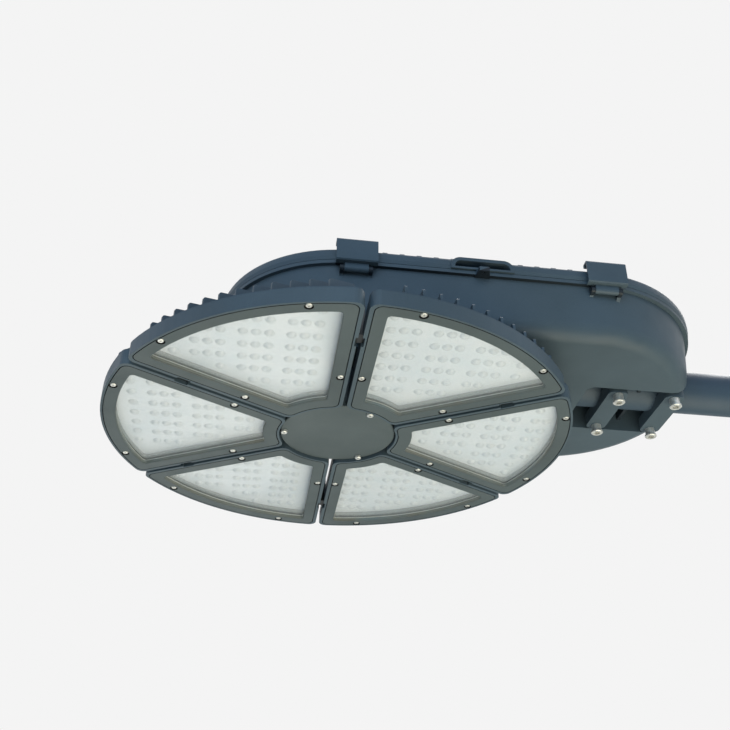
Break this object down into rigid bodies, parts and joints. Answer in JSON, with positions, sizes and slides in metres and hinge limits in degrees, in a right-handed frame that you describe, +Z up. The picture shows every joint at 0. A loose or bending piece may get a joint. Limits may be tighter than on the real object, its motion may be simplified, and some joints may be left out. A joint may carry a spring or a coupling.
{
  "type": "led high mast light",
  "caption": "Round high mast light: finned wedge modules with glazed windows in a disc under a long gear housing that clamps onto a mast arm.",
  "frame": {"origin": "centre of the mast arm's free end", "axes": "+X along the mast arm, away from the light; +Z up, the windows face -Z; +Y to the hinge side of the lid"},
  "size_m": [0.906, 0.6114, 0.1774],
  "materials": {
    "painted_casting": "satin powder coat",
    "painted_sink": "satin powder coat",
    "painted_bezel": "satin powder coat",
    "painted_hub": "satin powder coat",
    "painted_latch": "satin powder coat",
    "painted_arm": "satin powder coat",
    "stainless": "bright",
    "black_rubber": "matt",
    "black_plastic": "matt",
    "window_glass": "clear toughened",
    "lens_plastic": "clear moulded",
    "board_white": "white solder mask",
    "driver_case": "satin",
    "pale_plastic": "matt"
  },
  "bodies": {
    "lamp": {"gear_housing": "painted_casting", "housing_lid": "painted_casting", "lid_gasket": "black_rubber", "latch_pins": "stainless", "hinge_pins": "stainless", "hub_carrier": "painted_hub", "hub_cover": "painted_hub", "hub_cover_screws": "stainless", "carrier_bolts": "stainless", "module_bolts": "stainless", "bezel_screws": "stainless", "slot_links": "black_plastic", "inner_strap": "painted_casting", "outer_strap": "painted_casting", "clamp_bolts": "stainless", "arm_tube": "painted_arm", "driver_left": "driver_case", "driver_right": "driver_case", "driver_screws": "stainless", "terminal_block": "pale_plastic", "surge_protector": "pale_plastic", "cable_gland": "black_plastic", "heat_sink_1": "painted_sink", "heat_sink_2": "painted_sink", "heat_sink_3": "painted_sink", "heat_sink_4": "painted_sink", "heat_sink_5": "painted_sink", "heat_sink_6": "painted_sink", "bezel_1": "painted_bezel", "bezel_2": "painted_bezel", "bezel_3": "painted_bezel", "bezel_4": "painted_bezel", "bezel_5": "painted_bezel", "bezel_6": "painted_bezel", "glass_gasket_1": "black_rubber", "glass_gasket_2": "black_rubber", "glass_gasket_3": "black_rubber", "glass_gasket_4": "black_rubber", "glass_gasket_5": "black_rubber", "glass_gasket_6": "black_rubber", "glass_1": "window_glass", "glass_2": "window_glass", "glass_3": "window_glass", "glass_4": "window_glass", "glass_5": "window_glass", "glass_6": "window_glass", "lens_plate_1": "lens_plastic", "lens_plate_2": "lens_plastic", "lens_plate_3": "lens_plastic", "lens_plate_4": "lens_plastic", "lens_plate_5": "lens_plastic", "lens_plate_6": "lens_plastic", "led_board_1": "board_white", "led_board_2": "board_white", "led_board_3": "board_white", "led_board_4": "board_white", "led_board_5": "board_white", "led_board_6": "board_white"},
    "left_latch": {"left_latch": "painted_latch"},
    "right_latch": {"right_latch": "painted_latch"}
  },
  "joints": [
    {"name": "left_latch_turn", "type": "hinge", "parent": "lamp", "child": "left_latch", "pos_m": [-0.6, -0.1865, 0.027], "axis": [1, 0, 0], "range_deg": [0, 95]},
    {"name": "right_latch_turn", "type": "hinge", "parent": "lamp", "child": "right_latch", "pos_m": [-0.28, -0.1865, 0.027], "axis": [1, 0, 0], "range_deg": [0, 95]}
  ]
}
